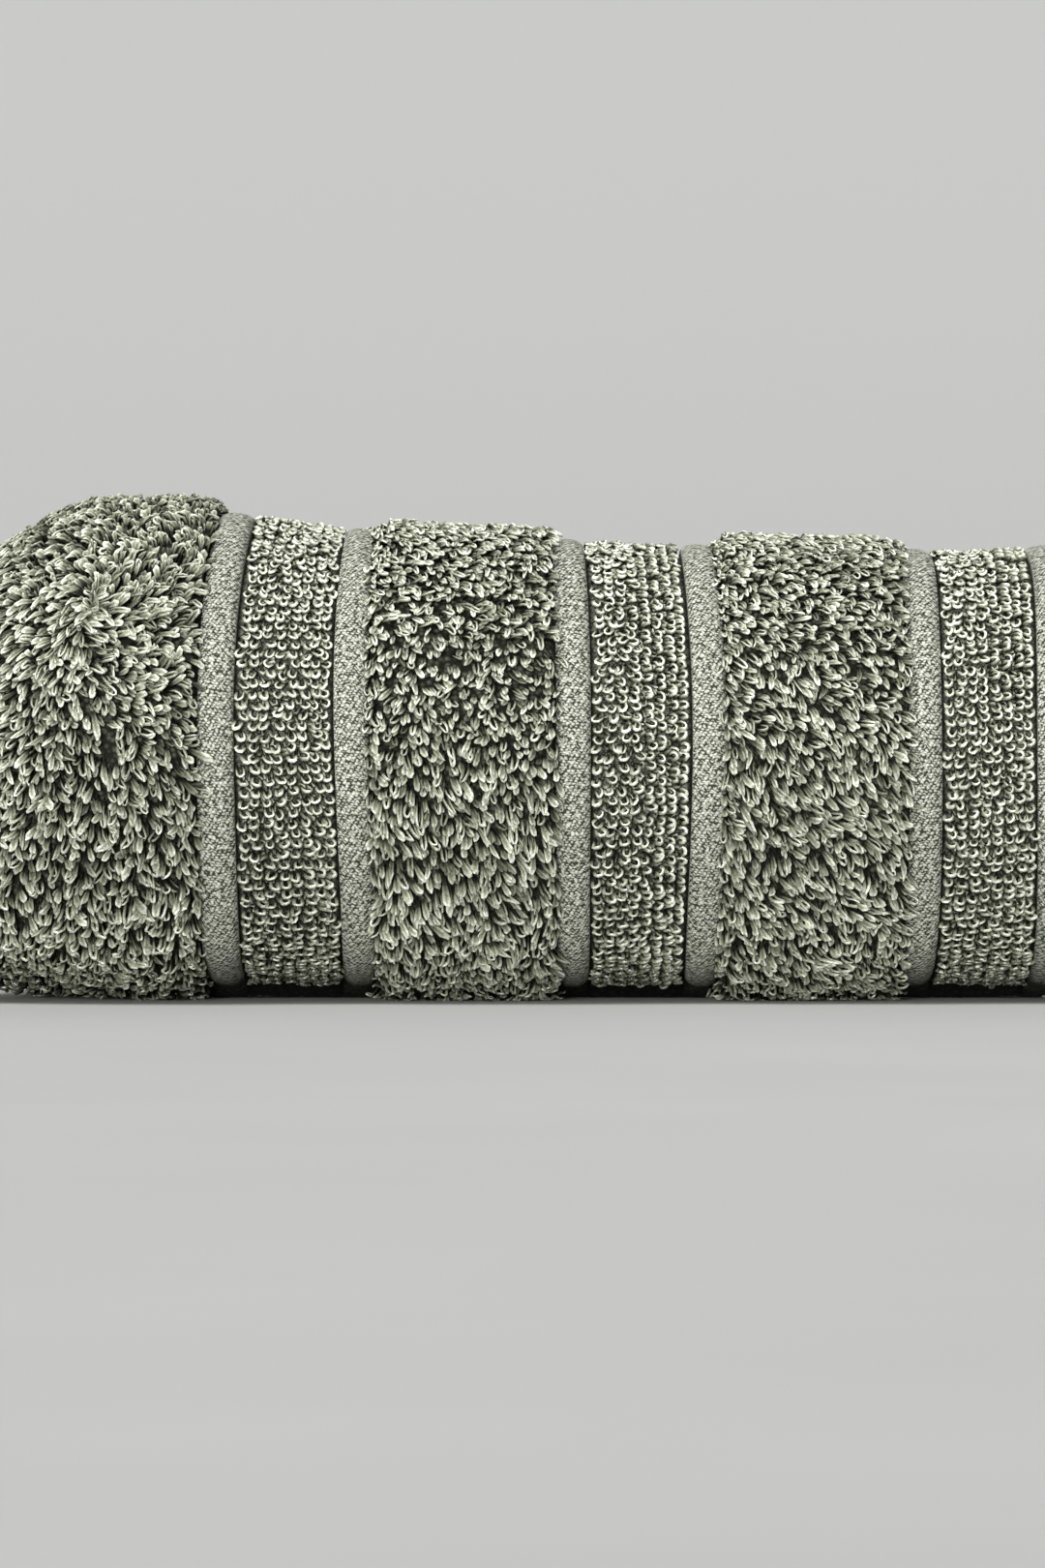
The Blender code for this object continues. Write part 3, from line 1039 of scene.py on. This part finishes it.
class Material:
    """A new material, and the nodes that lead to its shader."""

    def __init__(self, name, roughness, specular):
        self.made = bpy.data.materials.new(name)
        self.made.use_nodes = True
        self.nodes, self.links = self.made.node_tree.nodes, self.made.node_tree.links
        self.shader = self.nodes["Principled BSDF"].inputs
        self.shader["Roughness"].default_value = roughness
        self.shader["Specular IOR Level"].default_value = specular

    def node(self, kind, output, sockets, **settings):
        """The output of a new node, with a number, a colour or a link in each of its sockets."""
        node = self.nodes.new("ShaderNode" + kind)
        for name, value in settings.items():
            setattr(node, name, value)
        for name, value in sockets.items():
            if isinstance(value, (float, int)):
                node.inputs[name].default_value = value
            elif isinstance(value, tuple):
                node.inputs[name].default_value = (*value, 1.0)
            else:
                self.links.new(value, node.inputs[name])
        return node.outputs[output]

    def attribute(self, name):
        return self.node("Attribute", "Fac", {}, attribute_name=name)

    def spot(self):
        return self.node("TexCoord", "Object", {})

    def math(self, operation, *values):
        return self.node("Math", 0, dict(enumerate(values)), operation=operation)

    def mix(self, blend, factor, first, second):
        sockets = {0: factor, 6: first, 7: second}
        return self.node("Mix", 2, sockets, data_type="RGBA", blend_type=blend)

    def noise(self, scale, detail, vector=None):
        vector = self.spot() if vector is None else vector
        return self.node("TexNoise", "Fac", {"Scale": scale, "Detail": detail, "Vector": vector})

    def ramp(self, value, stops):
        colour = self.node("ValToRGB", "Color", {"Fac": value})
        elements = colour.node.color_ramp.elements
        while len(elements) < len(stops):
            elements.new(0.5)
        for element, (position, shade) in zip(elements, stops):
            element.position = position
            element.color = (*shade, 1.0)
        return colour

    def finish(self, colour, height=None, distance=0.0, strength=0.0):
        """The material with this colour, and with a bump where a height is given."""
        self.links.new(colour, self.shader["Base Color"])
        if height is not None:
            sockets = {"Strength": strength, "Distance": distance, "Height": height}
            self.links.new(self.node("Bump", "Normal", sockets), self.shader["Normal"])
        return self.made


# The stops of the yarn's colours: by how far out along its loop it is, painted near black towards
# the root as shade; by how light the loop is, with painted shade and light; by how far it faces
# out of the cloth, as painted shade on its sides and a painted highlight on its crown; and over
# its fibres
REACH_SHADE_STOPS = (
    (0.33, (0.013, 0.0145, 0.007)),
    (0.64, (0.340, 0.350, 0.274)),
    (0.92, (0.900, 0.912, 0.835)),
)
TONE_AND_SHADE_STOPS = (
    (0.09, (0.14, 0.145, 0.115)),
    (0.37, (0.64, 0.65, 0.60)),
    (0.69, (1.12, 1.12, 1.11)),
    (1.0, (1.45, 1.45, 1.44)),
)
CROWN_LIGHT_AND_SHADE_STOPS = (
    (0.10, (0.13, 0.14, 0.10)),
    (0.52, (0.70, 0.71, 0.65)),
    (0.90, (1.22, 1.22, 1.20)),
)
FIBRE_STOPS = ((0.33, (0.62, 0.63, 0.58)), (0.66, (1.15, 1.15, 1.15)))
FIBRE_SCALE = 2300.0
FIBRE_BUMP = 0.15 * MM


def yarn_material():
    """Twisted yarn, painted dark deep between the loops as shade, and light at their tips."""
    yarn = Material("sage_yarn", roughness=0.8, specular=0.3)
    fibres = yarn.noise(FIBRE_SCALE, detail=3.0)
    # Painted near black towards each loop's root as shade, light at its tip
    colour = yarn.ramp(yarn.attribute("reach"), REACH_SHADE_STOPS)
    for value, stops in (
        # Painted shade and light, with each loop's own tone, by how light the loop is
        (yarn.attribute("tone"), TONE_AND_SHADE_STOPS),
        # Painted shade on the yarn's sides and a painted highlight on its crown
        (yarn.attribute("crown"), CROWN_LIGHT_AND_SHADE_STOPS),
        (fibres, FIBRE_STOPS),
    ):
        colour = yarn.mix("MULTIPLY", 1.0, colour, yarn.ramp(value, stops))
    return yarn.finish(colour, fibres, FIBRE_BUMP, strength=0.7)


# The weave: the size of its floats, how far a row is moved along from the last, how far it
# wanders, how much of its height is floats and specks, and its colours
FLOAT_ACROSS = 0.72 * MM
FLOAT_ROW = 0.50 * MM
FLOAT_SHIFT = 0.37
FLOAT_SHARPNESS = 0.6
FLOAT_SHARE = 0.30
SPECK_SHARE = 0.9
SPECK_SCALE = 1300.0
WANDER = 1.3 * MM
WANDER_SCALE = 900.0
WEAVE_BUMP = 0.25 * MM
WEAVE_STOPS = (
    (0.45, (0.040, 0.043, 0.029)),
    (0.58, (0.340, 0.349, 0.284)),
    (0.80, (0.740, 0.750, 0.664)),
)
# The ground, painted near black as the shade deep in the pile, in mid-dark cells like lower loops
GROUND_SHADE_STOPS = (
    (0.12, (0.12, 0.123, 0.09)),
    (0.38, (0.05, 0.052, 0.036)),
    (0.60, (0.012, 0.013, 0.008)),
)
GROUND_SCALE = 1000.0
# Painted shade for the grooves and for the underside of the roll
GROOVE_SHADE_COLOUR = (0.12, 0.125, 0.10)


def woven_height(weave, across, wound):
    """Short floats in rows, each row a third of a float along from the last."""

    def swing(value):
        turned = weave.math("COSINE", weave.math("MULTIPLY", value, TURN))
        return weave.math("MULTIPLY_ADD", turned, 0.5, 0.5)

    row = weave.math("DIVIDE", wound, FLOAT_ROW)
    number = weave.math("FLOOR", weave.math("ADD", row, 0.5))
    along = weave.math("DIVIDE", across, FLOAT_ACROSS)
    along = weave.math("MULTIPLY_ADD", number, FLOAT_SHIFT, along)
    return weave.math("POWER", weave.math("MULTIPLY", swing(along), swing(row)), FLOAT_SHARPNESS)


def cloth_material():
    """Dark ground between the loops, painted as the shade deep in the pile, light woven ribs and
    hems, and painted shade in the grooves beside the ribs and where no light reaches under the
    roll.
    """
    weave = Material("sage_weave", roughness=0.85, specular=0.2)
    across, wound = weave.attribute("across"), weave.attribute("wound")
    place_of = weave.node("CombineXYZ", "Vector", {"X": across, "Y": wound})
    specks = weave.noise(SPECK_SCALE, 2.0, place_of)
    wander = weave.noise(WANDER_SCALE, detail=1.0)
    wander = weave.math("MULTIPLY_ADD", wander, WANDER, wound)
    floats = weave.math("MULTIPLY", woven_height(weave, across, wander), FLOAT_SHARE)
    height = weave.math("MULTIPLY_ADD", specks, SPECK_SHARE, floats)
    # Cells of painted shade, lighter where they stand for lower loops
    deep_loop_cells = {"Scale": GROUND_SCALE, "Vector": weave.spot()}
    ground = weave.ramp(weave.node("TexVoronoi", "Distance", deep_loop_cells), GROUND_SHADE_STOPS)
    flat = weave.math("MAXIMUM", weave.attribute("rib"), weave.attribute("hem"))
    colour = weave.mix("MIX", flat, ground, weave.ramp(height, WEAVE_STOPS))
    # Painted shade where the groove attribute is set
    colour = weave.mix("MULTIPLY", weave.attribute("groove"), colour, GROOVE_SHADE_COLOUR)
    return weave.finish(colour, height, WEAVE_BUMP, strength=0.8)


# The stage
STAGE_DEPTH = 1.6
STAGE_FRONT = -1.4
STAGE_WIDTH = 3.0
STAGE_HEIGHT = 0.75
STAGE_BEND = 0.1
STAGE_ANGLES = range(0, 91, 6)
FLOOR_STOPS = ((0.3, (0.478, 0.480, 0.470)), (0.7, (0.500, 0.502, 0.492)))
BACKDROP_COLOUR = (0.368, 0.371, 0.366)


def floor_material():
    """Pale grey, which looks even up the backdrop with a darker paint there."""
    floor = Material("pale_floor", roughness=0.8, specular=0.05)
    tone = floor.ramp(floor.noise(scale=9.0, detail=4.0), FLOOR_STOPS)
    height = floor.node("SeparateXYZ", "Z", {"Vector": floor.spot()})
    up = floor.math("DIVIDE", height, STAGE_BEND)
    return floor.finish(floor.mix("MIX", up, tone, BACKDROP_COLOUR))


def make_stage():
    """A floor that bends up into a backdrop behind the roll."""
    profile = [(STAGE_FRONT, 0.0)]
    for angle in map(math.radians, STAGE_ANGLES):
        y = STAGE_DEPTH + STAGE_BEND * math.sin(angle)
        profile.append((y, STAGE_BEND * (1 - math.cos(angle))))
    profile.append((STAGE_DEPTH + STAGE_BEND, STAGE_HEIGHT))
    points = np.array([[(side * STAGE_WIDTH / 2, y, z) for y, z in profile] for side in (-1, 1)])
    new_piece("stage", floor_material(), points, [grid(points, False)[1]], {})


# The camera: level, a little over a metre from the roll, at the height of its axis
PHOTO_WIDTH = 1080
PHOTO_HEIGHT = 1620
SCALE_AT_FRONT = 6060.0
CAMERA_DISTANCE = 1.10
CAMERA_HEIGHT = 0.0380
MIDDLE_PIXEL_X = 637.5
SENSOR = 36.0
CLIP = 0.05, 20.0


def make_camera():
    data = bpy.data.cameras.new("camera")
    camera = bpy.data.objects.new("camera", data)
    bpy.context.scene.collection.objects.link(camera)
    focal_pixels = SCALE_AT_FRONT * (CAMERA_DISTANCE - ROLL_RADIUS)
    data.sensor_width = SENSOR
    data.lens = SENSOR * focal_pixels / PHOTO_HEIGHT
    data.clip_start, data.clip_end = CLIP
    x = (PHOTO_WIDTH / 2 - MIDDLE_PIXEL_X) / SCALE_AT_FRONT
    camera.location = (x, -CAMERA_DISTANCE, CAMERA_HEIGHT)
    camera.rotation_euler = (math.radians(90), 0, 0)
    bpy.context.scene.camera = camera


# The name, strength, breadth in degrees and direction of each light
LAMPS = (
    ("key", 2.35, 24, (0.30, 0.36, -0.88)),
    ("fill", 3.00, 24, (0.15, 0.98, -0.09)),
    ("rear", 0.7, 50, (-0.15, -0.78, -0.61)),
)
WORLD_COLOUR = (1.0, 1.0, 1.0, 1.0)
WORLD_STRENGTH = 0.25


def make_light():
    """A pale room, a broad light from above, a low one from the front and a weak one behind."""
    world = bpy.data.worlds.new("studio")
    world.use_nodes = True
    background = world.node_tree.nodes["Background"].inputs
    background["Color"].default_value = WORLD_COLOUR
    background["Strength"].default_value = WORLD_STRENGTH
    bpy.context.scene.world = world
    for name, energy, spread, towards in LAMPS:
        data = bpy.data.lights.new(name, "SUN")
        data.energy = energy
        data.angle = math.radians(spread)
        light = bpy.data.objects.new(name, data)
        light.rotation_euler = Vector(towards).to_track_quat("-Z", "Y").to_euler()
        bpy.context.scene.collection.objects.link(light)
    bpy.context.scene.view_settings.view_transform = "Standard"


BAND_GAP = 0.4 * MM
END_SETBACK = 5.5 * MM
SEEDS = {
    "end_left": 11, "end_right": 12, "band_left": 23, "band_right": 27, "low_left": 41,
    "low_middle": 45, "low_right": 49, "left": 61, "right": 62,
}


def make_pile(material):
    """Every piece of pile: the high bands, the low bands and the folds at the ends."""
    edges = band_edges()
    tip = HALF - END_SETBACK
    pieces = [
        make_high_pile("end_left", -tip, edges[0][1] - BAND_GAP, material, spare_left=MM),
        make_high_pile("end_right", edges[-1][2] + BAND_GAP, tip, material, spare_right=MM),
        make_fold_pile("left", material),
        make_fold_pile("right", material),
    ]
    for name, left, right in edges:
        if name != "rib":
            make = make_low_pile if name.startswith("low") else make_high_pile
            pieces.append(make(name, left + BAND_GAP, right - BAND_GAP, material))
    return pieces


def main():
    cloth = make_cloth(cloth_material())
    pieces = make_pile(yarn_material())
    for piece in [cloth, *pieces]:
        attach(piece, "root")
        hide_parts(NODE)
    make_stage()
    make_camera()
    make_light()


main()
